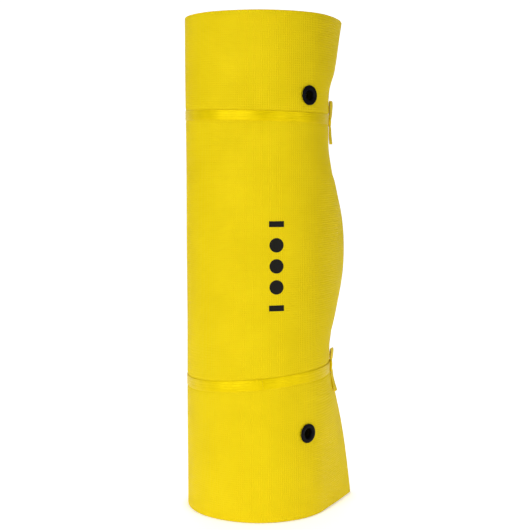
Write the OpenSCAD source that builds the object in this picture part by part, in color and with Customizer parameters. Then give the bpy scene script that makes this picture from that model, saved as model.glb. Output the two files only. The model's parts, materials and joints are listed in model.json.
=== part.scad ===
// Foam sleeping pad, rolled up and standing on end, held shut by two ribbon ties.
// The sheet is an outward spiral. Its outer turn is cut into panels that hinge
// open about vertical axes, and the last panel is the flap with the free edge.
// Angles are measured about +Z from the front (-Y) towards the right (+X).

/* [Foam sheet] */
// Width of the sheet, which is the height of the roll
sheet_w = 610; // [500:10:700]
// Length of the sheet when it lies flat
sheet_l = 1830; // [1700:10:1900]
// Thickness of the foam
sheet_t = 12; // [8:0.5:14]

/* [Roll] */
// Outer radius of the roll at the front
front_r = 91.1; // [88:0.1:95]
// Air gap between one turn and the next
turn_gap = 0.3; // [0.2:0.05:0.6]
// Angle of the sheet's free edge
edge_a = 118; // [112:1:124]

/* [Flap] */
// How far the flap straightens out at the bottom, from 0 to 1
flare_bottom = 0.97; // [0:0.01:1]
// How far the flap straightens out between the two ties, from 0 to 1
flare_middle = 0.66; // [0:0.01:1]
// How far the flap straightens out at the top, from 0 to 1
flare_top = 0.57; // [0:0.01:1]

/* [Ribbon ties] */
// Height of the upper tie at the front
tie_z_upper = 488; // [470:1:500]
// Height of the lower tie at the front
tie_z_lower = 169; // [150:1:190]
// Width of the upper ribbon
tie_w_upper = 12; // [9:0.5:16]
// Width of the lower ribbon
tie_w_lower = 13; // [9:0.5:16]
// Thickness of a ribbon
tie_t = 0.8; // [0.5:0.1:1.2]
// How much the upper tie slopes, in degrees, up towards the right
tie_tilt_upper = -1.6; // [-4:0.1:4]
// How much the lower tie slopes, in degrees, up towards the right
tie_tilt_lower = 5; // [-6:0.1:6]

/* [Eyelets] */
// Height of the upper eyelet
eyelet_z_upper = 512.5; // [505:0.5:540]
// Height of the lower eyelet
eyelet_z_lower = 105; // [60:0.5:120]
// Angle of both eyelets
eyelet_a = 42; // [39:0.5:45]
// Outer radius of an eyelet's flange
eyelet_r = 12; // [10:0.1:13]
// Radius of the hole through an eyelet
eyelet_hole_r = 6; // [4:0.1:7]

/* [Hidden] */
// The spiral: one more turn adds one pitch, and the sheet's length sets where it starts
pitch = sheet_t + turn_gap;
edge_mid_r = front_r + pitch*edge_a/360 - sheet_t/2;
turns = (edge_mid_r - sqrt(edge_mid_r*edge_mid_r - pitch*sheet_l/PI))/pitch;
start_a = edge_a - 360*turns;
arc_step = 5;

// The hinge lines: evenly spaced round the back, wider apart beside the eyelets
hinge_a = [-157, -127, -97, -67, -37, -7, 22, 64];
panels = len(hinge_a) - 1;
cut_gap = 0.1;
foot_gap = 0.4;

// The flap: it leaves the roll at the last hinge
flap_a = hinge_a[panels];
flap_steps = 9;
bottom_rows = 8;
swell_rows = 10;
top_rows = 5;
flare_shape_top = 0.55;
flare_shape_bottom = 0.45;
swell_mid_z = 322;
swell_half = 98;
top_open_z = 540;
bottom_open_z = 168;

// Ribbon bridge from the free edge down to the turn below
ribbon_lift = 0.1;
ribbon_a = edge_a + 0.3;
ribbon_top_r = front_r + pitch*edge_a/360 + ribbon_lift;

// Bows
bow_a = 88;
bow_z_upper = 482;
bow_z_lower = 177;
knot_w = 9;
knot_h_upper = 11;
knot_h_lower = 16;
knot_deep = 6;
loop_h_upper = 21;
loop_h_lower = 14;
loop_half = 2.6;
loop_w = 11;
tail_h_upper = 20;
tail_h_lower = 25;
tail_short = 0.8;
tail_shift = 0.8;
tail_w = 10;
tail_t = 0.9;
tail_flare = 4.5;
tail_flare_short = 2.4;
wing_gap = 1.5;
bow_r = front_r + pitch*bow_a/360 + ribbon_lift + tie_t + 0.4 + knot_deep/2;

// Eyelet profile
flange_t = 1.6;
barrel_wall = 1.2;
washer_t = 1;
washer_r = 11;
fit_gap = 0.1;

// Printed mark: plain bars and dots on the front
mark_a = 14.7;
mark_z = 311;
mark_w_a = 11.4;
mark_bar_h = 7;
mark_dot_r = 8.6;
mark_pitch = 25;
mark_t = 0.25;
ink_lift = 0.1;

// Unit vector at an angle, and the outer skin's radius there
function dir(a) = [sin(a), -cos(a)];
function skin_r(a) = front_r + pitch*a/360;

// Angles from a0 to a1 in even steps of at most arc_step
function steps(a0, a1) =
    let (n = max(1, ceil((a1 - a0)/arc_step))) [for (i = [0:n]) a0 + (a1 - a0)*i/n];
function flip(list) = [for (i = [len(list) - 1:-1:0]) list[i]];

// Outline of a slab that follows the spiral, from depth d0 below the skin to height d1 above it
function slab(a0, a1, d0, d1) = concat(
    [for (a = steps(a0, a1)) (skin_r(a) + d1)*dir(a)],
    [for (a = flip(steps(a0, a1))) (skin_r(a) - d0)*dir(a)]);

// Small angle that leaves half of the gap between two neighbouring panels
function cut_a(a) = cut_gap/skin_r(a)*180/PI;

// How far the flap has straightened at height z
function opened(z) =
    z > top_open_z ? flare_top*pow((z - top_open_z)/(sheet_w - top_open_z), flare_shape_top) :
    z < bottom_open_z ? flare_bottom*pow(1 - z/bottom_open_z, flare_shape_bottom) :
    abs(z - swell_mid_z) < swell_half ?
        flare_middle*sqrt(1 - pow((z - swell_mid_z)/swell_half, 2)) : 0;

// Heights of the flap's rows of points, closer together where it starts to open
flap_heights = concat(
    [for (k = [0:bottom_rows]) bottom_open_z - (bottom_open_z - foot_gap)*pow(1 - k/bottom_rows, 2)],
    [for (k = [0:swell_rows]) swell_mid_z - swell_half*cos(180*k/swell_rows)],
    [for (k = [0:top_rows]) top_open_z + (sheet_w - foot_gap - top_open_z)*pow(k/top_rows, 2)]);

// Skin point on the flap: an arc of larger radius, tangent to the roll at the last hinge
function flap_point(a, z, depth) =
    let (r = skin_r(flap_a),
         arc = (a - flap_a)*PI/180*r,
         big_r = r/(1 - opened(z)),
         turn = flap_a + arc/big_r*180/PI,
         grow = pitch*(a - flap_a)/360,
         p = (big_r + grow - depth)*dir(turn) - (big_r - r)*dir(flap_a))
    [p[0], p[1], z];

// The foam sheet
module foam_core() {
    color("gold")
        linear_extrude(sheet_w)
            polygon(slab(start_a, hinge_a[0] - cut_a(hinge_a[0]), sheet_t, 0));
}

module foam_panel(i) {
    a0 = hinge_a[i - 1] + cut_a(hinge_a[i - 1]);
    a1 = hinge_a[i] - cut_a(hinge_a[i]);
    color("gold")
        difference() {
            translate([0, 0, foot_gap])
                linear_extrude(sheet_w - 2*foot_gap)
                    polygon(slab(a0, a1, sheet_t, 0));
            if (i == panels) {
                eyelet_cut(eyelet_z_upper);
                eyelet_cut(eyelet_z_lower);
            }
        }
}

module foam_flap() {
    a0 = flap_a + cut_a(flap_a);
    cols = flap_steps + 1;
    last = len(flap_heights) - 1;
    angles = [for (j = [0:flap_steps]) a0 + (edge_a - a0)*j/flap_steps];
    ring = 2*cols;
    points = [for (z = flap_heights) each concat(
        [for (a = angles) flap_point(a, z, 0)],
        [for (a = flip(angles)) flap_point(a, z, sheet_t)])];
    walls = [for (k = [0:last - 1]) for (j = [0:ring - 1])
        let (p = k*ring + j, q = k*ring + (j + 1)%ring)
        each [[p, p + ring, q + ring], [p, q + ring, q]]];
    ends = [for (k = [0, last]) for (j = [0:flap_steps - 1])
        let (p = k*ring + j, q = k*ring + ring - 1 - j)
        each (k == 0 ? [[p, p + 1, q - 1], [p, q - 1, q]] : [[p, q - 1, p + 1], [p, q, q - 1]])];
    color("gold")
        polyhedron(points, concat(walls, ends));
}

// Places an eyelet's axis along +Z, pointing out of the skin
module at_eyelet(z) {
    translate([0, 0, z])
        rotate([0, 0, eyelet_a])
            rotate([90, 0, 0])
                translate([0, 0, skin_r(eyelet_a)])
                    children();
}

module eyelet_cut(z) {
    at_eyelet(z) {
        translate([0, 0, -2*sheet_t])
            cylinder(r = eyelet_hole_r + barrel_wall + fit_gap, h = 3*sheet_t, $fn = 64);
        translate([0, 0, -2*sheet_t])
            cylinder(r = washer_r + fit_gap, h = sheet_t + washer_t + fit_gap, $fn = 64);
        translate([0, 0, -fit_gap])
            cylinder(r = eyelet_r + fit_gap, h = sheet_t, $fn = 64);
    }
}

// Eyelet: a flange with a rolled rim on the skin, and a barrel through the foam
module eyelet(z) {
    color([0.08, 0.08, 0.09])
        at_eyelet(z)
            rotate_extrude($fn = 64)
                union() {
                    translate([eyelet_hole_r, -sheet_t + washer_t])
                        square([barrel_wall, sheet_t - washer_t + flange_t]);
                    translate([eyelet_hole_r, 0])
                        square([eyelet_r - eyelet_hole_r - flange_t/2, flange_t]);
                    translate([eyelet_r - flange_t/2, flange_t/2])
                        circle(r = flange_t/2, $fn = 32);
                }
}

module eyelet_washer(z) {
    color([0.08, 0.08, 0.09])
        at_eyelet(z)
            translate([0, 0, -sheet_t])
                difference() {
                    cylinder(r = washer_r, h = washer_t - fit_gap, $fn = 64);
                    translate([0, 0, -washer_t])
                        cylinder(r = eyelet_hole_r, h = 3*washer_t, $fn = 64);
                }
}

// Ribbon: the part of an outline that lies in the tilted band of a tie
module tie_band(z, w, tilt) {
    intersection() {
        translate([0, 0, z - 4*w])
            linear_extrude(8*w)
                children();
        rotate_about(z, tilt)
            translate([-2*front_r, -2*front_r, z - w/2])
                cube([4*front_r, 4*front_r, w]);
    }
}

module rotate_about(z, tilt) {
    translate([0, 0, z])
        rotate([0, -tilt, 0])
            translate([0, 0, -z])
                children();
}

module ribbon(i, z, w, tilt) {
    a0 = hinge_a[i - 1] + cut_a(0);
    a1 = i > panels ? edge_a : hinge_a[i] - cut_a(0);
    color("goldenrod")
        tie_band(z, w, tilt)
            polygon(slab(a0, a1, -ribbon_lift, ribbon_lift + tie_t));
}

// The ribbon goes straight from the free edge down to the turn below, then follows it
module ribbon_root(z, w, tilt) {
    end_a = hinge_a[0] + 360 - cut_a(0);
    low_r = skin_r(ribbon_a - 360) + ribbon_lift;
    meet_a = ribbon_a + acos(low_r/ribbon_top_r);
    lap = [for (a = steps(meet_a, end_a)) a];
    color("goldenrod")
        tie_band(z, w, tilt)
            polygon(concat(
                [(ribbon_top_r + tie_t)*dir(ribbon_a)],
                [for (a = lap) (skin_r(a - 360) + ribbon_lift + tie_t)*dir(a)],
                [for (a = flip(lap)) (skin_r(a - 360) + ribbon_lift)*dir(a)],
                [ribbon_top_r*dir(ribbon_a)]));
}

// Places a bow part: +X points out of the roll, +Y up, and +Z along the ribbon
module at_bow(z) {
    translate([0, 0, z])
        rotate([0, 0, bow_a - 90])
            rotate([90, 0, 0])
                translate([bow_r, 0, 0])
                    children();
}

module knot(z, high) {
    color("goldenrod")
        at_bow(z)
            translate([0, 0, -knot_w/2])
                linear_extrude(knot_w)
                    union() {
                        square([knot_deep, high - knot_deep], center = true);
                        for (side = [-1, 1])
                            translate([0, side*(high - knot_deep)/2])
                                circle(d = knot_deep, $fn = 48);
                    }
}

// Outline of a closed loop of ribbon: narrow at the knot and round at its end
function loop_outline(h, half, inset) =
    let (steps_n = 12,
         up = [for (k = [0:steps_n]) let (t = k/steps_n)
             [max(0.8 - inset/2, half*pow(sin(160*t + 20*t*t), 0.8) - inset), inset + (h - 2*inset)*t]])
    concat(up, [for (p = flip(up)) [-p[0], p[1]]]);

module bow_loop(z, high, h) {
    color("goldenrod")
        at_bow(z)
            translate([0, high/2 + wing_gap, -loop_w/2])
                linear_extrude(loop_w)
                    difference() {
                        polygon(loop_outline(h, loop_half, 0));
                        polygon(loop_outline(h, loop_half, tie_t));
                    }
}

// A flat tail that swings away from the roll towards its cut end
module tail(z, high, h, flare, shift) {
    n = 6;
    outer = [for (k = [0:n]) let (t = k/n) [shift + flare*t*t + tail_t/2, -h*t]];
    inner = [for (k = [n:-1:0]) let (t = k/n) [shift + flare*t*t - tail_t/2, -h*t]];
    color("goldenrod")
        at_bow(z)
            translate([0, -high/2 - wing_gap, -tail_w/2])
                linear_extrude(tail_w)
                    polygon(concat(outer, inner));
}

// Generic printed mark: a bar, three dots and a bar
module printed_mark() {
    ink = slab(mark_a - mark_w_a/2, mark_a + mark_w_a/2, -ink_lift, ink_lift + mark_t);
    color([0.1, 0.1, 0.08]) {
        for (side = [-1, 1])
            translate([0, 0, mark_z + side*2*mark_pitch - mark_bar_h/2])
                linear_extrude(mark_bar_h)
                    polygon(ink);
        for (k = [-1:1])
            intersection() {
                translate([0, 0, mark_z + k*mark_pitch - mark_dot_r])
                    linear_extrude(2*mark_dot_r)
                        polygon(ink);
                translate([0, 0, mark_z + k*mark_pitch])
                    rotate([0, 0, mark_a])
                        rotate([90, 0, 0])
                            cylinder(r = mark_dot_r, h = 2*front_r, $fn = 48);
            }
    }
}

foam_core();
for (i = [1:panels])
    foam_panel(i);
foam_flap();

ribbon_root(tie_z_upper, tie_w_upper, tie_tilt_upper);  // upper_ribbon_root
for (i = [1:panels + 1])
    ribbon(i, tie_z_upper, tie_w_upper, tie_tilt_upper);
ribbon_root(tie_z_lower, tie_w_lower, tie_tilt_lower);  // lower_ribbon_root
for (i = [1:panels + 1])
    ribbon(i, tie_z_lower, tie_w_lower, tie_tilt_lower);

eyelet(eyelet_z_upper);  // upper_eyelet
eyelet_washer(eyelet_z_upper);  // upper_eyelet_washer
eyelet(eyelet_z_lower);  // lower_eyelet
eyelet_washer(eyelet_z_lower);  // lower_eyelet_washer

knot(bow_z_upper, knot_h_upper);  // upper_knot
bow_loop(bow_z_upper, knot_h_upper, loop_h_upper);  // upper_bow_loop
tail(bow_z_upper, knot_h_upper, tail_h_upper, tail_flare, tail_shift);  // upper_tail_long
tail(bow_z_upper, knot_h_upper, tail_short*tail_h_upper, tail_flare_short, -tail_shift);  // upper_tail_short
knot(bow_z_lower, knot_h_lower);  // lower_knot
bow_loop(bow_z_lower, knot_h_lower, loop_h_lower);  // lower_bow_loop
tail(bow_z_lower, knot_h_lower, tail_h_lower, tail_flare, tail_shift);  // lower_tail_long
tail(bow_z_lower, knot_h_lower, tail_short*tail_h_lower, tail_flare_short, -tail_shift);  // lower_tail_short

printed_mark();
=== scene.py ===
"""Foam sleeping pad: a rolled foam sheet on its end, held by two ribbon ties with bows.

Lengths are in metres and angles in degrees. Angles run about +Z from the front (-Y)
towards the right (+X). The sheet is a spiral, so an angle a and a + 360 are two turns.
"""
import bmesh
import bpy
import json
import math
import numpy as np
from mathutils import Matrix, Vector


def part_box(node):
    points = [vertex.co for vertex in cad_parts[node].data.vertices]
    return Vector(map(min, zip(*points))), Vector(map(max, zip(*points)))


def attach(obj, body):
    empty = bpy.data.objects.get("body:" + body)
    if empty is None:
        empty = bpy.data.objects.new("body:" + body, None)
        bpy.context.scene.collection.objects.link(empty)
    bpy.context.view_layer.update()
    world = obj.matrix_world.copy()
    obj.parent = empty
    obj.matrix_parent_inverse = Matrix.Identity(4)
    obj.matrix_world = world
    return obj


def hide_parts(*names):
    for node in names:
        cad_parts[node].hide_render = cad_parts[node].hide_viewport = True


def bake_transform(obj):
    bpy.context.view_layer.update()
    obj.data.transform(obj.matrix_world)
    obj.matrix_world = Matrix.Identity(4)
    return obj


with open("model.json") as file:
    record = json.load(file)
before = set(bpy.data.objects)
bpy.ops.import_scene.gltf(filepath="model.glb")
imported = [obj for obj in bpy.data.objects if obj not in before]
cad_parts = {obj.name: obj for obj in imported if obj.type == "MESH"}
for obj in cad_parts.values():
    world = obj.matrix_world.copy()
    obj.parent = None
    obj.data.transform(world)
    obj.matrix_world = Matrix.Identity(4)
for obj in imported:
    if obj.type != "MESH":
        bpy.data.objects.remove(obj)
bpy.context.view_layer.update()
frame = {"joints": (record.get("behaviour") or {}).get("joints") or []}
MM = 0.001

# ---------------------------------------------------------------- node helpers
def node(tree, kind, inputs=None, **settings):
    """A node with settings and unlinked or linked inputs."""
    made = tree.nodes.new(kind)
    for key, value in settings.items():
        setattr(made, key, value)
    for key, value in (inputs or {}).items():
        if isinstance(value, bpy.types.NodeSocket):
            tree.links.new(value, made.inputs[key])
        else:
            made.inputs[key].default_value = value
    return made


def math_node(tree, operation, a, b=0.0):
    """The result of a Math node on two numbers or sockets."""
    return node(tree, "ShaderNodeMath", {0: a, 1: b}, operation=operation).outputs[0]


def mix_colour(tree, amount, a, b):
    """Two colours mixed by an amount."""
    made = node(tree, "ShaderNodeMix", {"Factor": amount}, data_type="RGBA")
    made.inputs["A"].default_value = (*a, 1)
    made.inputs["B"].default_value = (*b, 1)
    return made.outputs["Result"]


def spread(tree, value, low, high, to_low=0.0, to_high=1.0):
    """A value's range from low to high, stretched to another range and cut off outside it."""
    made = node(tree, "ShaderNodeMapRange",
                {"Value": value, "From Min": low, "From Max": high, "To Min": to_low, "To Max": to_high})
    return made.outputs[0]


def noise(tree, place, scale, detail):
    """A pattern of soft noise over places."""
    return node(tree, "ShaderNodeTexNoise", {"Vector": place, "Scale": scale, "Detail": detail}).outputs[0]


# ---------------------------------------------------------------- camera and studio
CAMERA_DIP = 5.386

scene = bpy.context.scene
camera_data = bpy.data.cameras.new("camera")
camera = bpy.data.objects.new("camera", camera_data)
scene.collection.objects.link(camera)
scene.camera = camera
camera_data.lens = 76.24
camera_data.sensor_width = 36
camera_data.clip_end = 20
camera.location = (0.00947, -1.4093, 0.4372)
camera.rotation_euler = (math.radians(90 - CAMERA_DIP), 0, 0)


def area_light(name, place, target, size, power):
    """A soft square white light that faces a point."""
    data = bpy.data.lights.new(name, "AREA")
    data.size = size
    data.energy = power
    light = bpy.data.objects.new(name, data)
    scene.collection.objects.link(light)
    light.location = place
    light.rotation_euler = (Vector(target) - Vector(place)).to_track_quat("-Z", "Y").to_euler()


def sweep_up_mesh():
    """A floor that bends up into a wall behind the pad."""
    near, flat_end, bend, wall, half, steps = -6.0, 1.6, 0.8, 3.0, 6.0, 16
    line = [(near, 0.0), (flat_end, 0.0)]
    for k in range(1, steps + 1):
        t = math.pi / 2 * k / steps
        line.append((flat_end + bend * math.sin(t), bend * (1 - math.cos(t))))
    line.append((flat_end + bend, wall))
    verts = [(side * half, y, z) for y, z in line for side in (-1, 1)]
    faces = [(2 * k, 2 * k + 1, 2 * k + 3, 2 * k + 2) for k in range(len(line) - 1)]
    mesh = bpy.data.meshes.new("floor")
    mesh.from_pydata(verts, [], faces)
    mesh.shade_smooth()
    return mesh


def pale_floor():
    """Pale matt floor that glows behind and beside the pad, for an even white backdrop, with a painted
    contact shadow where the glow dies out beside the pad.
    """
    glow_strength, painted_shadow_reach = 0.5, 8 * MM
    material = bpy.data.materials.new("floor")
    material.use_nodes = True
    tree = material.node_tree
    shader = tree.nodes["Principled BSDF"]
    shader.inputs["Base Color"].default_value = (0.93, 0.93, 0.93, 1)
    shader.inputs["Roughness"].default_value = 0.6
    shader.inputs["Specular IOR Level"].default_value = 0.2
    shader.inputs["Emission Color"].default_value = (1, 1, 1, 1)
    place = node(tree, "ShaderNodeSeparateXYZ", {0: node(tree, "ShaderNodeTexCoord").outputs["Object"]})
    away = math_node(tree, "ABSOLUTE", place.outputs[0])
    inside = spread(tree, away, 0.9, 1.4, 1.0, 0.0)
    behind = spread(tree, place.outputs[1], -0.7, -0.2)
    glow = math_node(tree, "MULTIPLY", math_node(tree, "MULTIPLY", inside, behind), glow_strength)
    # Painted contact shadow: the glow dies out in the narrow gap beside whatever stands on the floor
    painted_contact_shadow = node(tree, "ShaderNodeAmbientOcclusion", {"Distance": painted_shadow_reach}).outputs["AO"]
    glow = math_node(tree, "MULTIPLY", glow, painted_contact_shadow)
    tree.links.new(glow, shader.inputs["Emission Strength"])
    return material


def studio():
    """Pale floor that sweeps up behind the pad, soft lights, white surroundings."""
    scene.view_settings.view_transform = "Standard"
    scene.view_settings.look = "None"
    middle = (0, 0, 0.3)
    area_light("key", (-1.05, -1.45, 0.76), middle, 0.5, 14.6)
    area_light("fill", (1.15, -1.05, 0.55), middle, 0.25, 4.8)
    area_light("top", (0, 0.5, 2.2), middle, 1.4, 11)
    world = bpy.data.worlds.new("surroundings")
    scene.world = world
    world.use_nodes = True
    background = world.node_tree.nodes["Background"]
    background.inputs["Color"].default_value = (1, 1, 1, 1)
    background.inputs["Strength"].default_value = 0.29
    mesh = sweep_up_mesh()
    mesh.materials.append(pale_floor())
    floor = bpy.data.objects.new("floor", mesh)
    scene.collection.objects.link(floor)


# ---------------------------------------------------------------- the sheet's spiral
SHEET_T = 12 * MM
PITCH = 12.3 * MM
FRONT_R = 91.1 * MM
SHEET_L = 1.83
SHEET_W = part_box("foam_core")[1][2]
EDGE_A = 118
EDGE_MID_R = FRONT_R + PITCH * EDGE_A / 360 - SHEET_T / 2
TURNS = (EDGE_MID_R - math.sqrt(EDGE_MID_R ** 2 - PITCH * SHEET_L / math.pi)) / PITCH
START_A = EDGE_A - 360 * TURNS


def hinge_angle(joint):
    """Angle of a hinge line on the outer turn."""
    x, y, _ = joint["pos_m"]
    return math.degrees(math.atan2(x, -y))


HINGE_A = [hinge_angle(j) for j in frame["joints"] if j["name"].startswith("unroll_")]
FLAP_A = HINGE_A[-1]
PANELS = len(HINGE_A) - 1

# Where the foam bends round each hinge, from one angle to the other
EYELET_RIGID = (34, 50)
BEND = [(a - 15, a + 15) for a in HINGE_A[:-2]]
BEND += [(BEND[-1][1], EYELET_RIGID[0]), (EYELET_RIGID[1], 2 * FLAP_A - EYELET_RIGID[1])]

# Ties: height at the front, slope towards the right, width
TIE_Z = {"upper": 0.488, "lower": 0.169}
TIE_SLOPE = {"upper": math.tan(math.radians(-1.6)), "lower": math.tan(math.radians(5))}
TIE_W = {"upper": 12 * MM, "lower": 13 * MM}
TIE_T = 0.8 * MM
TIE_R = 92.5 * MM

EYELET_A = 42
EYELET_Z = {"upper": 0.5125, "lower": 0.105}
BOW_A = 88

# Where the turns out of sight end, and from where on the skin is pressed by what lies on it
OUTER_START_A, PRESSED_START_A = -250, -212
TIE_DENT, EYELET_DENT, EYELET_DENT_REACH = 0.46 * MM, 0.9 * MM, 14 * MM

# How deep the ties pull the roll in: depth, height, half height of the narrow part, steepness
WAISTS = ((5.8 * MM, 0.482, 0.050, 6), (3.4 * MM, 0.192, 0.024, 4))
WAIST_A, WAIST_REACH = 92, 58
LEFT_BULGE = 1.0 * MM

# How much the flap straightens out at the bottom, between the ties and at the top
FLARE_BOTTOM, FLARE_MIDDLE, FLARE_TOP = 0.97, 0.71, 0.58
BOTTOM_OPEN_Z, TOP_OPEN_Z = 0.158, 0.530
SWELL_Z, SWELL_HALF = 0.322, 0.098
BOTTOM_SHAPE, TOP_SHAPE = 0.45, 0.5


def smooth(t):
    """0 below 0 and 1 above 1, with a soft S between."""
    t = np.clip(t, 0, 1)
    return t * t * (3 - 2 * t)


def soft_start(q, ease):
    """q above 0, with a gentle start instead of a corner."""
    q = np.clip(q, 0, None)
    return q * q / (q + ease)


def opened(z):
    """How far the flap has straightened at a height, from 0 to nearly 1."""
    top = FLARE_TOP * soft_start((z - TOP_OPEN_Z) / (SHEET_W - TOP_OPEN_Z), 0.04) ** TOP_SHAPE
    bottom = FLARE_BOTTOM * soft_start(1 - z / BOTTOM_OPEN_Z, 0.03) ** BOTTOM_SHAPE
    middle = FLARE_MIDDLE * soft_start(1 - ((z - SWELL_Z) / SWELL_HALF) ** 2, 0.08) ** 0.5
    return np.minimum(top + bottom + middle, 0.985)


def waist(a, z):
    """How far the ties pull the roll in beside the free edge, less a slight bulge on the left."""
    from_middle = np.clip((a - WAIST_A + 180) % 360 - 180, -WAIST_REACH, WAIST_REACH)
    side = np.cos(np.radians(from_middle * 90 / WAIST_REACH)) ** 2
    pull = sum(deep / (1 + np.abs((z - middle) / half) ** steep) for deep, middle, half, steep in WAISTS)
    left = LEFT_BULGE * np.clip(-np.sin(np.radians(a)), 0, 1) ** 2
    return side * pull - left


def tie_height(name, a):
    """Height of a tie's middle at an angle."""
    return TIE_Z[name] + TIE_SLOPE[name] * TIE_R * np.sin(np.radians(a))


def dent(a, z):
    """How deep the ribbons and eyelets press into the outer skin."""
    depth = 0 * z
    for name in TIE_Z:
        away = np.abs(z - tie_height(name, a)) - TIE_W[name] / 2
        depth = depth + TIE_DENT * smooth(1 - away / (4 * MM))
    for z_eye in EYELET_Z.values():
        across = np.radians(a - EYELET_A) * TIE_R
        rho = np.sqrt(across ** 2 + (z - z_eye) ** 2)
        depth = depth + EYELET_DENT * np.exp(-(rho / EYELET_DENT_REACH) ** 4)
    return np.where(a > PRESSED_START_A, depth, 0)


def ripple(a, z):
    """Gentle unevenness of the hand-rolled sheet."""
    s = np.radians(a)
    wave = np.sin(3.1 * s + 9 * z + 0.7) * 0.35 + np.sin(7.3 * s - 13 * z + 2.1) * 0.16
    return MM * (wave + np.sin(1.7 * s + 31 * z) * 0.16)


def edge_drift(a):
    """How far a turn's edge lies inside the ends of the roll."""
    s = np.radians(a)
    wave = 0.5 + 0.28 * np.sin(0.83 * s + 1.1) + 0.22 * np.sin(2.3 * s + 0.4)
    return MM * wave * np.where(a > OUTER_START_A, 0.35, 1.5)


def skin_r(a):
    """Radius of the sheet's outer skin at an angle."""
    return FRONT_R + PITCH * a / 360


def direction(a):
    """Unit vectors away from the roll's axis."""
    a = np.radians(a)
    return np.stack([np.sin(a), -np.cos(a)], -1)


def sheet_point(a, z, depth, pressed=True):
    """A point of the rolled sheet at an angle, a height and a depth below its outer skin."""
    a, z, depth = np.broadcast_arrays(np.asarray(a, float), z, depth)
    r = skin_r(FLAP_A)
    past = np.clip(a - FLAP_A, 0, None)
    straight = np.where(past > 0, opened(z), 0)
    big_r = r / (1 - straight)
    turn = np.where(past > 0, FLAP_A + past * r / big_r, a)
    centre = np.where(past > 0, big_r - r, 0)
    radius = np.where(past > 0, big_r + PITCH * past / 360, skin_r(a)) - depth
    in_out = 1 - np.clip(depth / SHEET_T, 0, 1)
    pull = waist(turn, z) * (1 - straight) * np.clip(skin_r(a) / skin_r(EDGE_A), 0, 1) ** 2
    radius = radius - pull + ripple(a, z) * np.clip((a - START_A) / 900, 0, 1)
    if pressed:
        radius = radius - dent(a, z) * in_out
    xy = radius[..., None] * direction(turn) - centre[..., None] * direction(FLAP_A)
    return np.concatenate([xy, z[..., None]], -1)


def arc_length(a):
    """Length along the sheet up to an angle, for the pattern on its skin."""
    return np.radians(a) * (FRONT_R + PITCH * a / 720)


# ---------------------------------------------------------------- mesh helpers
def make_object(name, verts, faces, materials, uvs, face_slots=None, sharp=35):
    """A piece from vertices and faces, with smooth shading up to an angle."""
    mesh = bpy.data.meshes.new(name)
    mesh.from_pydata([tuple(v) for v in verts], [], faces)
    for material in materials:
        mesh.materials.append(material)
    if face_slots is not None:
        mesh.polygons.foreach_set("material_index", face_slots)
    layer = mesh.uv_layers.new(name="UVMap")
    loop_verts = np.zeros(len(mesh.loops), int)
    mesh.loops.foreach_get("vertex_index", loop_verts)
    layer.data.foreach_set("uv", np.asarray(uvs, np.float32)[loop_verts].ravel())
    outward(mesh)
    mesh.shade_smooth()
    mesh.set_sharp_from_angle(angle=math.radians(sharp))
    mesh.update()
    piece = bpy.data.objects.new(name, mesh)
    scene.collection.objects.link(piece)
    return piece


def outward(mesh):
    """Turns all faces of a closed mesh to face out."""
    shape = bmesh.new()
    shape.from_mesh(mesh)
    bmesh.ops.recalc_face_normals(shape, faces=shape.faces)
    shape.to_mesh(mesh)
    shape.free()


def tube_faces(columns, ring):
    """Quads between neighbouring closed rings of points."""
    return [(c * ring + p, c * ring + (p + 1) % ring, (c + 1) * ring + (p + 1) % ring, (c + 1) * ring + p)
            for c in range(columns - 1) for p in range(ring)]


def cap_faces(first, ring, flip):
    """Quads across a ring whose second half runs back beside its first half."""
    faces = []
    for p in range(ring // 2 - 1):
        quad = (first + p, first + p + 1, first + ring - 2 - p, first + ring - 1 - p)
        faces.append(quad[::-1] if flip else quad)
    return faces


def axis_frame(axis):
    """Unit vectors along an axis, to its side and up across it."""
    out = Vector(axis).normalized()
    side = out.cross(Vector((0, 0, 1))).normalized()
    return out, side, side.cross(out)


def angles(a0, a1, step):
    """Even angles from a0 to a1, at most a step apart."""
    return np.linspace(a0, a1, max(2, math.ceil((a1 - a0) / step) + 1))


# ---------------------------------------------------------------- foam
FILLET = 1.1 * MM
EYELET_R = 11.8 * MM
EYELET_HOLE_R = 6 * MM
BARREL_WALL = 1.2 * MM
FOAM_HOLE_R = EYELET_HOLE_R + BARREL_WALL + 0.1 * MM
WASHER_R, WASHER_T = 11 * MM, 1 * MM


def row_heights(fine):
    """Heights of the rows of points up the sheet, closer beside the ties."""
    coarse = 7.5 * MM if fine else 25 * MM
    rows = list(np.linspace(FILLET, SHEET_W - FILLET, round(SHEET_W / coarse)))
    if fine:
        near = [0, 2, 4, 5, 5.8, 6.5, 7.2, 8, 9, 10.5, 12.5, 15, 19]
        offsets = sorted({s * n * MM for n in near for s in (-1, 1)})
        for z in TIE_Z.values():
            rows = [r for r in rows if abs(r - z) > 22 * MM] + [z + o for o in offsets]
    return np.array(sorted(rows))


def sheet_profile(fine):
    """Outline through the thickness as (depth, height): up the outer skin and down the inner one."""
    corner = [math.radians(t) for t in (0, 30, 60, 90)]
    half = [(SHEET_T / 2, 0.0), (SHEET_T * 0.3, 0.0)]
    half += [(FILLET * (1 - math.sin(t)), FILLET * (1 - math.cos(t))) for t in corner]
    half += [(0.0, z) for z in row_heights(fine)[1:-1]]
    half += [(FILLET * (1 - math.cos(t)), SHEET_W - FILLET * (1 - math.sin(t))) for t in corner]
    half += [(SHEET_T * 0.3, SHEET_W), (SHEET_T / 2, SHEET_W)]
    other = [(SHEET_T - d, z) for d, z in reversed(half)]
    return np.array(half + other)


def follow_ties(a, z):
    """Rows near a tie slope with it, so that its dent stays sharp."""
    out = z + 0 * a
    for name in TIE_Z:
        near = smooth((55 * MM - np.abs(z - TIE_Z[name])) / (33 * MM))
        out = out + near * (tie_height(name, a) - TIE_Z[name])
    return out


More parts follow.
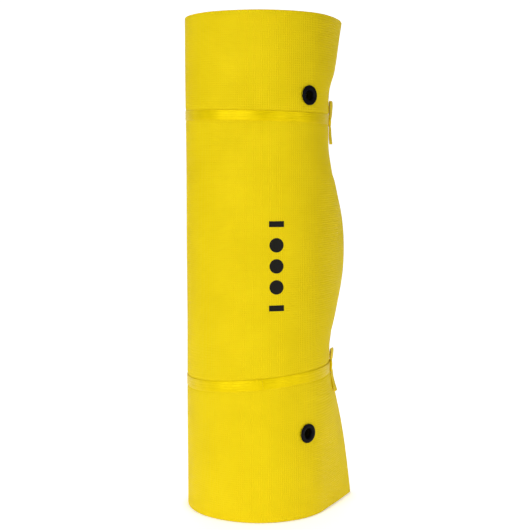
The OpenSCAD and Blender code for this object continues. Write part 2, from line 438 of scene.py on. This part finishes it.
def foam_piece(name, a0, a1, materials, step=1.5, fine=True, round_start=False, round_end=False):
    """A closed length of the sheet between two angles."""
    profile = sheet_profile(fine)
    columns = [(a, 0.0) for a in angles(a0, a1, step)]
    turned = [math.radians(t) for t in (25, 50, 75, 90)]
    if round_end:
        back = math.degrees(FILLET / skin_r(a1))
        columns = [c for c in columns if c[0] < a1 - back]
        columns += [(a1 - back + back * math.sin(t), FILLET * (1 - math.cos(t))) for t in [0] + turned]
    if round_start:
        back = math.degrees(FILLET / skin_r(a0))
        columns = [c for c in columns if c[0] > a0 + back]
        columns = [(a0 + back - back * math.sin(t), FILLET * (1 - math.cos(t)))
                   for t in reversed([0] + turned)] + columns
    a = np.array([c[0] for c in columns])[:, None]
    shrink = np.array([c[1] for c in columns])[:, None]
    depth = shrink + profile[None, :, 0] * (1 - 2 * shrink / SHEET_T)
    z = shrink + profile[None, :, 1] * (1 - 2 * shrink / SHEET_W)
    drift = edge_drift(a)
    z = 0.35 * drift + z * (1 - 1.35 * drift / SHEET_W)
    z = follow_ties(a, z)
    points = sheet_point(a, z, depth)
    ring = len(profile)
    faces = tube_faces(len(columns), ring)
    faces += cap_faces(0, ring, False) + cap_faces((len(columns) - 1) * ring, ring, True)
    across = np.where(profile[:, 0] > SHEET_T / 2, 2 * SHEET_W - profile[:, 1], profile[:, 1])
    cut = (profile[:, 0] > FILLET) & (profile[:, 0] < SHEET_T - FILLET)
    v = np.where(cut, profile[:, 0] + 1.0, across)
    u = arc_length(a) + 0 * v[None, :]
    uvs = np.stack([u, v[None, :] + 0 * u], -1).reshape(-1, 2)
    on_end = (profile[:, 1] < FILLET / 2) | (profile[:, 1] > SHEET_W - FILLET / 2)
    band = [int(on_end[p] and on_end[(p + 1) % ring]) for p in range(ring)]
    slots = band * (len(columns) - 1) + [1] * (2 * (ring // 2 - 1))
    return make_object(name, points.reshape(-1, 3), faces, materials, uvs, slots)


def bend_piece(piece):
    """Bakes a piece's placement into its vertices."""
    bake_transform(piece)


def cut_hole(piece, place, axis, radius, low, high):
    """Cuts a round hole in a piece, from one height along the axis to another."""
    sides = 48
    out, side, up = axis_frame(axis)
    rings = [[Vector(place) + out * s + (side * math.cos(t) + up * math.sin(t)) * radius
              for t in np.linspace(0, 2 * math.pi, sides, endpoint=False)] for s in (low, high)]
    faces = tube_faces(2, sides) + [tuple(range(sides)), tuple(range(sides, 2 * sides))]
    mesh = bpy.data.meshes.new("cutter")
    mesh.from_pydata([tuple(p) for ring in rings for p in ring], [], faces)
    outward(mesh)
    cutter = bpy.data.objects.new("cutter", mesh)
    scene.collection.objects.link(cutter)
    modifier = piece.modifiers.new("hole", "BOOLEAN")
    modifier.operation = "DIFFERENCE"
    modifier.solver = "EXACT"
    modifier.object = cutter
    bpy.context.view_layer.update()
    shape = bpy.data.meshes.new_from_object(piece.evaluated_get(bpy.context.evaluated_depsgraph_get()))
    piece.modifiers.clear()
    piece.data = shape
    bpy.data.objects.remove(cutter)


def eyelet_place(z):
    """Where an eyelet's axis meets the skin, and the axis itself."""
    x, y, _ = sheet_point(np.array([EYELET_A]), z, 0.0, pressed=False)[0]
    return (x, y, z), (x, y, 0)


def foam_sheet(skin, cut):
    """The whole sheet: the fixed inner turns, the lengths over the hinges, and the flap."""
    materials = [skin, cut]
    inner = foam_piece("foam_inner_turns", START_A, OUTER_START_A, materials,
                       step=3, fine=False, round_start=True)
    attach(inner, "root")
    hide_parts("foam_core")
    outer = foam_piece("foam_back", OUTER_START_A, BEND[0][0], materials)
    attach(outer, "root")
    for k, (a0, a1) in enumerate(BEND):
        piece = foam_piece(f"foam_bend_{k + 1}", a0, a1, materials)
        bend_piece(piece)
        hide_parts(f"foam_panel_{k + 1}" if k < PANELS else "foam_flap")
    rigid = foam_piece("foam_eyelet_strip", *EYELET_RIGID, materials)
    for z in EYELET_Z.values():
        place, axis = eyelet_place(z)
        cut_hole(rigid, place, axis, FOAM_HOLE_R, -2 * SHEET_T, SHEET_T)
        cut_hole(rigid, place, axis, WASHER_R + 0.1 * MM, -2 * SHEET_T, WASHER_T - SHEET_T)
    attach(rigid, f"panel_{PANELS}")
    flap = foam_piece("foam_flap_edge", BEND[-1][1], EDGE_A, materials, round_end=True)
    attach(flap, "flap")


# ---------------------------------------------------------------- ribbons
RIBS = 4
RIBBON_OUT = 0.38 * MM
SEAM_A = 4.2
TIE_CUT_A = EDGE_A + 0.3


def ribbon_section(width):
    """Section of a ribbon as (across, height): ribbed outer face, flat inner face."""
    steps = 24
    t = np.linspace(0, 1, steps + 1)
    edge = np.minimum(t, 1 - t) * width
    round_off = 1 - np.sqrt(1 - np.clip(1 - edge / (0.5 * MM), 0, 1) ** 2)
    ribs = 0.09 * MM * np.cos(2 * math.pi * RIBS * t)
    top = TIE_T * (1 - 0.5 * round_off) + ribs * (1 - round_off)
    bottom = TIE_T * 0.5 * round_off
    across = (t - 0.5) * width
    outer = np.stack([across, top], -1)
    inner = np.stack([across, bottom], -1)[::-1]
    return np.concatenate([outer, inner])


def sweep(name, places, normals, sides, section, length, material):
    """A closed ribbon: the section carried along places, with their normals and side vectors."""
    points = (places[:, None] + sides[:, None] * section[None, :, :1]
              + normals[:, None] * section[None, :, 1:])
    ring = len(section)
    faces = tube_faces(len(places), ring)
    faces += cap_faces(0, ring, False) + cap_faces((len(places) - 1) * ring, ring, True)
    u = length[:, None] + 0 * section[None, :, 0]
    uvs = np.stack([u, section[None, :, 0] + 0 * u], -1).reshape(-1, 2)
    return make_object(name, points.reshape(-1, 3), faces, [material], uvs, sharp=50)


def seam_rise(name, a):
    """Where the lower tie's two ends are sewn over each other."""
    if name != "lower":
        return 0 * a
    lap = 0.6 * MM * np.where(a < SEAM_A, np.exp((a - SEAM_A) / 9), 0)
    near = np.exp(-((a - SEAM_A + 4) / 6) ** 2)
    return lap + 0.13 * MM * near * np.sin(np.radians(a) * 150)


def ribbon_line(name, a):
    """Middle line of a tie on the outer turn, with its outward and upward directions."""
    z = tie_height(name, a) + 0.25 * MM * np.sin(np.radians(2.6 * a + 40))
    base = RIBBON_OUT - TIE_T + seam_rise(name, a)
    place = sheet_point(a, z, -base, pressed=False)
    ahead = sheet_point(a + 0.5, z, -base, pressed=False) - sheet_point(a - 0.5, z, -base, pressed=False)
    ahead[:, 2] = TIE_SLOPE[name] * np.cos(np.radians(a)) * np.linalg.norm(ahead[:, :2], axis=1)
    ahead /= np.linalg.norm(ahead, axis=1)[:, None]
    flat = np.stack([ahead[:, 1], -ahead[:, 0], 0 * a], -1)
    out = flat / np.linalg.norm(flat, axis=1)[:, None]
    up = np.cross(out, ahead)
    return place, out, up


def ribbon_piece(name, label, a, material, place=None, out=None, up=None):
    """A length of a tie through the angles a."""
    if place is None:
        place, out, up = ribbon_line(name, a)
    length = np.concatenate([[0], np.cumsum(np.linalg.norm(np.diff(place, axis=0), axis=1))])
    section = ribbon_section(TIE_W[name])
    piece = sweep(label, place, out, up, section, length + float(arc_length(a[0])), material)
    return piece


def ribbon_angles(a0, a1):
    """Angles for a ribbon's rings, closer beside the lower tie's seam."""
    a = list(angles(a0, a1, 1.5))
    if a0 < SEAM_A < a1:
        a = list(angles(a0, a1, 0.4)) + [SEAM_A - 0.08, SEAM_A + 0.08]
    return np.array(sorted(set(a)))


def tie(name, material):
    """One ribbon tie, in the same lengths as the foam below it."""
    for k, (a0, a1) in enumerate(BEND):
        piece = ribbon_piece(name, f"{name}_tie_{k + 1}", ribbon_angles(a0, a1), material)
        bend_piece(piece)
        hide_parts(f"{name}_ribbon_{k + 1}")
    strip = ribbon_piece(name, f"{name}_tie_by_eyelet", ribbon_angles(*EYELET_RIGID), material)
    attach(strip, f"panel_{PANELS}")
    end = ribbon_piece(name, f"{name}_tie_end", ribbon_angles(BEND[-1][1], TIE_CUT_A), material)
    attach(end, "flap")
    # Past the free edge the ribbon runs straight down to the turn below
    place0, out0, up0 = ribbon_line(name, np.array([TIE_CUT_A]))
    touch, steps = EDGE_A + 30, 8
    lap = angles(touch, BEND[0][0] + 360, 1.5)
    place, out, up = ribbon_line(name, lap - 360)
    bridge = np.linspace(0, 1, steps)[:-1, None]
    place = np.concatenate([place0 + (place[0] - place0) * bridge, place])
    out = np.concatenate([out0 + (out[0] - out0) * smooth(2 * bridge), out])
    up = np.concatenate([up0 + (up[0] - up0) * bridge, up])
    a = np.concatenate([np.linspace(TIE_CUT_A, touch, steps)[:-1], lap])
    root = ribbon_piece(name, f"{name}_tie_back", a, material, place, out, up)
    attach(root, "root")
    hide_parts(f"{name}_ribbon_root")


# ---------------------------------------------------------------- bows
BOW_Z = {"upper": 0.482, "lower": 0.177}
KNOT_HIGH = {"upper": 11 * MM, "lower": 15 * MM}
KNOT_WIDE, KNOT_DEEP = 9.5 * MM, 3.6 * MM
LOOP_W, TAIL_W = 11 * MM, 10.5 * MM
# In millimetres: height of the loop, then drop of the tails and how far they swing out
LOOP_TALL = {"upper": 21.5, "lower": 14.5}
TAIL_DROP = {"upper": 21, "lower": 25.5}
TAIL_REACH = {"upper": 2.8, "lower": 6.6}
# How far the loop and the long tail stand off square, so that they cross the short tail
BOW_SKEW = 15


def curve_through(points, count):
    """Evenly spaced points on a smooth curve through a few points."""
    p = np.asarray(points, float)
    ext = np.vstack([2 * p[0] - p[1], p, 2 * p[-1] - p[-2]])
    out = []
    for k in range(1, len(ext) - 2):
        for t in np.linspace(0, 1, 24, endpoint=False):
            a, b, c, d = ext[k - 1:k + 3]
            out.append(0.5 * (2 * b + (c - a) * t + (2 * a - 5 * b + 4 * c - d) * t * t
                              + (3 * b - a - 3 * c + d) * t ** 3))
    out = np.array(out + [p[-1]])
    run = np.concatenate([[0], np.cumsum(np.linalg.norm(np.diff(out, axis=0), axis=1))])
    even = np.linspace(0, run[-1], count)
    return np.stack([np.interp(even, run, out[:, i]) for i in range(2)], -1), even


def bow_frame(z, swing=0.0):
    """Origin on the ribbon under a knot, with outward and sideways directions."""
    place = sheet_point(np.array([BOW_A]), z, -RIBBON_OUT, pressed=False)[0]
    out = np.append(direction(BOW_A), 0)
    a = math.radians(BOW_A - swing)
    side = np.array([math.cos(a), math.sin(a), 0])
    return place, out, side


def bow_strip(label, z, points, width, material, swing=0.0, twist=0.0, count=40, held="hung"):
    """A strip of ribbon along a curve of (outward, up) millimetre points beside the knot."""
    place, out, side = bow_frame(z, swing)
    line, run = curve_through(np.array(points) * MM, count)
    up = np.array([0, 0, 1.0])
    places = place + line[:, :1] * out + line[:, 1:] * up
    ahead = np.gradient(places, axis=0)
    ahead /= np.linalg.norm(ahead, axis=1)[:, None]
    turn = np.radians(twist) * (run / run[-1])[:, None]
    across = side * np.cos(turn) + np.cross(ahead, side) * np.sin(turn)
    normal = np.cross(ahead, across)
    section = ribbon_section(width) - np.array([0, TIE_T / 2])
    grow = 0.55 + 0.45 * smooth(run / (5 * MM))
    if held == "folded":
        grow = grow * (0.55 + 0.45 * smooth((run[-1] - run) / (5 * MM)))
    piece = sweep(label, places, normal, across * grow[:, None], section, run, material)
    return piece


def knot(name, material):
    """The knot: ribbon wound tight round itself, a crumpled pillow with the ribbon's ribs."""
    high, wide, deep = KNOT_HIGH[name], KNOT_WIDE, KNOT_DEEP
    place, out, side = bow_frame(BOW_Z[name])
    along, around = 20, 40
    verts, uvs = [], []
    for i in range(along + 1):
        s = 2 * i / along - 1
        end = (1 - abs(s) ** 3.2) ** (1 / 3.2) * 0.97 + 0.03
        for j in range(around):
            t = 2 * math.pi * j / around
            c, d = math.cos(t), math.sin(t)
            fold = 1 + 0.045 * math.cos(2 * math.pi * 3 * s + 1.5 * d) + 0.05 * math.sin(2 * t + 1.3 * s)
            x = deep / 2 * math.copysign(abs(c) ** 0.75, c) * end * fold
            y = high / 2 * math.copysign(abs(d) ** 0.75, d) * (0.8 + 0.2 * end) * fold
            verts.append(place + out * (x + deep * 0.34) + side * (s * wide / 2)
                         + np.array([0, 0, y]))
            uvs.append((t * high / math.pi, s * wide / 2))
    faces = tube_faces(along + 1, around)
    faces += [tuple(range(around))[::-1], tuple(range(along * around, (along + 1) * around))]
    piece = make_object(f"{name}_bow_knot", verts, faces, [material], uvs, sharp=60)
    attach(piece, "flap")
    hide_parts(f"{name}_knot")


def hang(piece, z):
    """The root of a loop or tail stays in its knot; its placement is baked into its vertices."""
    place, _, _ = bow_frame(z)
    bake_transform(piece)


def bow(name, material):
    """A knot with one loop standing up and two tails hanging down."""
    z = BOW_Z[name]
    half = KNOT_HIGH[name] / 2
    knot(name, material)
    tall, drop, reach = LOOP_TALL[name], TAIL_DROP[name], TAIL_REACH[name]
    loop_points = [(1.2, -2), (1.25, 0.25 * tall), (1.3, 0.7 * tall), (1.7, 0.93 * tall), (2.4, tall),
                   (3.1, 0.93 * tall), (3.3, 0.7 * tall), (2.7, 0.3 * tall), (1.9, -2)]
    loop = bow_strip(f"{name}_bow_ribbon_loop", z + half, loop_points, LOOP_W, material,
                     swing=BOW_SKEW, count=72, held="folded")
    hang(loop, z)
    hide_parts(f"{name}_bow_loop")
    long_points = [(1.6, 2), (1.6, -0.2 * drop), (0.8 + 0.35 * reach, -0.5 * drop),
                   (0.4 + 0.7 * reach, -0.77 * drop), (reach, -drop)]
    long_tail = bow_strip(f"{name}_bow_tail_long", z - half, long_points, TAIL_W, material,
                          swing=BOW_SKEW, twist=6)
    short_points = [(0.5, 2), (0.55, -0.2 * drop), (0.1 + 0.2 * reach, -0.43 * drop),
                    (0.1 + 0.3 * reach, -0.62 * drop), (0.1 + 0.42 * reach, -0.8 * drop)]
    short_tail = bow_strip(f"{name}_bow_tail_short", z - half, short_points, TAIL_W, material, twist=-5)
    for piece, part in ((long_tail, "tail_long"), (short_tail, "tail_short")):
        hang(piece, z)
        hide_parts(f"{name}_{part}")


# ---------------------------------------------------------------- eyelets and mark
MARK_A, MARK_HALF_A, MARK_Z = 14.7, 5.7, 0.311
MARK_STEP, MARK_BAR_H, MARK_DOT_R = 25 * MM, 7 * MM, 8.6 * MM
INK_T = 0.16 * MM


def lathe(name, profile, place, axis, material, sides=72):
    """A turned piece: the profile is (radius, height along the axis), as a closed loop."""
    out, side, up = axis_frame(axis)
    verts, uvs = [], []
    for t in np.linspace(0, 2 * math.pi, sides, endpoint=False):
        arm = side * math.cos(t) + up * math.sin(t)
        for k, (r, h) in enumerate(profile):
            verts.append(Vector(place) + arm * r + out * h)
            uvs.append((t * 0.01, k * 0.001))
    ring = len(profile)
    faces = [tuple(v % (sides * ring) for v in f) for f in tube_faces(sides + 1, ring)]
    piece = make_object(name, verts, faces, [material], uvs, sharp=40)
    return piece


def eyelet(name, material):
    """A flanged eyelet through the foam and the washer that it is clenched over."""
    z = EYELET_Z[name]
    place, axis = eyelet_place(z)
    back = -SHEET_T
    rim = [(EYELET_R - 0.9 * MM + 0.9 * MM * math.sin(t), 0.6 * MM - 0.9 * MM * math.cos(t))
           for t in np.linspace(0, math.pi, 9)]
    dome = [(EYELET_R - 2.4 * MM, 1.65 * MM), (EYELET_HOLE_R + 2.6 * MM, 1.75 * MM),
            (EYELET_HOLE_R + 1.4 * MM, 1.55 * MM), (EYELET_HOLE_R + 0.5 * MM, 0.95 * MM),
            (EYELET_HOLE_R + 0.08 * MM, 0.1 * MM), (EYELET_HOLE_R, -1.5 * MM)]
    foot = [(EYELET_HOLE_R, back + 1.2 * MM), (EYELET_HOLE_R + 0.4 * MM, back + 0.3 * MM),
            (EYELET_HOLE_R + 1.1 * MM, back + 0.25 * MM), (EYELET_HOLE_R + BARREL_WALL, back + 1.0 * MM),
            (EYELET_HOLE_R + BARREL_WALL, -0.4 * MM)]
    piece = lathe(f"{name}_eyelet_ring", rim + dome + foot, place, axis, material)
    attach(piece, f"panel_{PANELS}")
    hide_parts(f"{name}_eyelet")
    outer, inner = WASHER_R, EYELET_HOLE_R + 1.25 * MM
    top = back + WASHER_T - 0.05 * MM
    washer = [(inner, back), (outer - 0.3 * MM, back), (outer, back + 0.3 * MM),
              (outer, top - 0.2 * MM), (outer - 0.2 * MM, top), (inner, top)]
    piece = lathe(f"{name}_eyelet_back_washer", washer, place, axis, material)
    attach(piece, f"panel_{PANELS}")
    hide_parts(f"{name}_eyelet_washer")


def ink_patch(grid_a, grid_z, verts, faces, uvs):
    """A thin closed patch of ink that follows the skin, added to a growing mesh."""
    rows, cols = grid_a.shape
    first = len(verts)
    for lift in (INK_T, -INK_T):
        points = sheet_point(grid_a, grid_z, -lift)
        verts.extend(points.reshape(-1, 3))
        uvs.extend(np.stack([arc_length(grid_a), grid_z], -1).reshape(-1, 2))
    size = rows * cols
    for i in range(rows - 1):
        for j in range(cols - 1):
            p = first + i * cols + j
            faces.append((p, p + 1, p + cols + 1, p + cols))
            faces.append(tuple(v + size for v in (p + cols, p + cols + 1, p + 1, p)))
    rim = [(0, j) for j in range(cols)] + [(i, cols - 1) for i in range(1, rows)]
    rim += [(rows - 1, j) for j in range(cols - 2, -1, -1)] + [(i, 0) for i in range(rows - 2, 0, -1)]
    rim = [first + i * cols + j for i, j in rim]
    for p, q in zip(rim, rim[1:] + rim[:1]):
        faces.append((q, p, p + size, q + size))


def printed_mark(material):
    """Plain printed mark: a bar, three dots and a bar."""
    verts, faces, uvs = [], [], []
    square = np.linspace(-1, 1, 17)
    y, x = np.meshgrid(square, square, indexing="ij")
    for side in (-1, 1):
        ink_patch(MARK_A + MARK_HALF_A * x, MARK_Z + side * 2 * MARK_STEP + MARK_BAR_H / 2 * y,
                  verts, faces, uvs)
    disc_x = x * np.sqrt(1 - y * y / 2)
    disc_y = y * np.sqrt(1 - x * x / 2)
    for k in (-1, 0, 1):
        across = np.degrees(MARK_DOT_R * disc_x / skin_r(MARK_A))
        ink_patch(MARK_A + across, MARK_Z + k * MARK_STEP + MARK_DOT_R * disc_y, verts, faces, uvs)
    piece = make_object("front_printed_mark", verts, faces, [material], uvs)
    bend_piece(piece)
    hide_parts("printed_mark")


# ---------------------------------------------------------------- materials
def new_material(name, colour, roughness):
    """A Principled material with a plain colour and roughness below its patterns."""
    material = bpy.data.materials.new(name)
    material.use_nodes = True
    tree = material.node_tree
    shader = tree.nodes["Principled BSDF"]
    shader.inputs["Base Color"].default_value = (*colour, 1)
    shader.inputs["Roughness"].default_value = roughness
    return material, tree, shader


def dye(tree, shader, amount, a, b):
    """Colours a material by a pattern that runs from one colour to another."""
    tree.links.new(mix_colour(tree, amount, a, b), shader.inputs["Base Color"])


def emboss(tree, shader, height, strength, distance):
    """Gives a material fine relief from a pattern of heights."""
    bump = node(tree, "ShaderNodeBump", {"Strength": strength, "Distance": distance, "Height": height})
    tree.links.new(bump.outputs[0], shader.inputs["Normal"])


def ribs(tree, along, pitch):
    """A pattern of ribs at a pitch along a coordinate, from -1 to 1."""
    return math_node(tree, "SINE", math_node(tree, "MULTIPLY", along, 2 * math.pi / pitch))


def foam_skin():
    """Embossed closed-cell foam: fine crossed ribs, pores and slight mottling."""
    material, tree, shader = new_material("foam_skin", (0.8, 0.6, 0.02), 0.56)
    uv = node(tree, "ShaderNodeUVMap", uv_map="UVMap").outputs[0]
    split = node(tree, "ShaderNodeSeparateXYZ", {0: uv})
    rib_pitch = 2.7 * MM
    weave = math_node(tree, "ADD", math_node(tree, "MULTIPLY", ribs(tree, split.outputs[0], rib_pitch), 0.6),
                      math_node(tree, "MULTIPLY", ribs(tree, split.outputs[1], rib_pitch), 0.35))
    grain = noise(tree, uv, 900.0, 3.0)
    height = math_node(tree, "ADD", weave, math_node(tree, "MULTIPLY", grain, 1.1))
    emboss(tree, shader, height, 0.42, 0.6 * MM)
    blotch = spread(tree, noise(tree, uv, 17.0, 3.0), 0.3, 0.7)
    dye(tree, shader, blotch, (0.80, 0.595, 0.0035), (0.85, 0.640, 0.005))
    tree.links.new(spread(tree, grain, 0.3, 0.7, 0.48, 0.62), shader.inputs["Roughness"])
    shader.inputs["Specular IOR Level"].default_value = 0.05
    return material


def foam_cut():
    """The knife-cut edge of the foam: paler, with small open cells whose pits are painted darker as shade.
    """
    material, tree, shader = new_material("foam_cut", (0.82, 0.66, 0.06), 0.75)
    place = node(tree, "ShaderNodeTexCoord").outputs["Object"]
    cells = node(tree, "ShaderNodeTexVoronoi", {"Vector": place, "Scale": 1300.0}).outputs["Distance"]
    large = noise(tree, place, 260.0, 4.0)
    height = math_node(tree, "ADD", cells, math_node(tree, "MULTIPLY", large, 0.8))
    emboss(tree, shader, height, 0.5, 0.5 * MM)
    # Painted shade: the colour darkens towards the middle of each cell, where the bump sinks into a pit
    dye(tree, shader, spread(tree, cells, 0.1, 0.7), (0.70, 0.53, 0.030), (0.86, 0.70, 0.075))
    shader.inputs["Specular IOR Level"].default_value = 0.25
    return material


def satin_ribbon():
    """Woven satin: fine cross yarns, a soft sheen and a little colour drift."""
    material, tree, shader = new_material("satin_ribbon", (0.8, 0.6, 0.002), 0.3)
    uv = node(tree, "ShaderNodeUVMap", uv_map="UVMap").outputs[0]
    split = node(tree, "ShaderNodeSeparateXYZ", {0: uv})
    yarn = ribs(tree, split.outputs[0], 0.45 * MM)
    warp = ribs(tree, split.outputs[1], 0.5 * MM)
    height = math_node(tree, "ADD", math_node(tree, "MULTIPLY", yarn, 0.5),
                       math_node(tree, "MULTIPLY", warp, 0.7))
    emboss(tree, shader, height, 0.22, 0.2 * MM)
    drift = spread(tree, noise(tree, uv, 55.0, 2.0), 0.3, 0.7)
    dye(tree, shader, drift, (0.80, 0.590, 0.0010), (0.87, 0.650, 0.0016))
    shader.inputs["Specular IOR Level"].default_value = 0.04
    shader.inputs["Metallic"].default_value = 0.2
    return material


def black_plastic():
    """Black moulded eyelet with faint scuffs."""
    material, tree, shader = new_material("black_plastic", (0.006, 0.006, 0.008), 0.4)
    scuff = noise(tree, node(tree, "ShaderNodeTexCoord").outputs["Object"], 420.0, 4.0)
    emboss(tree, shader, scuff, 0.1, 0.2 * MM)
    dye(tree, shader, scuff, (0.0015, 0.0015, 0.003), (0.004, 0.004, 0.006))
    tree.links.new(spread(tree, scuff, 0.35, 0.75, 0.3, 0.5), shader.inputs["Roughness"])
    shader.inputs["Specular IOR Level"].default_value = 0.07
    return material


def printed_ink():
    """Matt black ink that takes up the foam's texture."""
    material, tree, shader = new_material("printed_ink", (0.012, 0.012, 0.011), 0.55)
    grain = noise(tree, node(tree, "ShaderNodeUVMap", uv_map="UVMap").outputs[0], 900.0, 3.0)
    emboss(tree, shader, grain, 0.2, 0.4 * MM)
    dye(tree, shader, grain, (0.005, 0.005, 0.004), (0.014, 0.013, 0.010))
    shader.inputs["Specular IOR Level"].default_value = 0.12
    return material


# ---------------------------------------------------------------- build
studio()
foam_sheet(foam_skin(), foam_cut())
RIBBON = satin_ribbon()
BLACK = black_plastic()
for tie_name in TIE_Z:
    tie(tie_name, RIBBON)
    bow(tie_name, RIBBON)
    eyelet(tie_name, BLACK)
printed_mark(printed_ink())
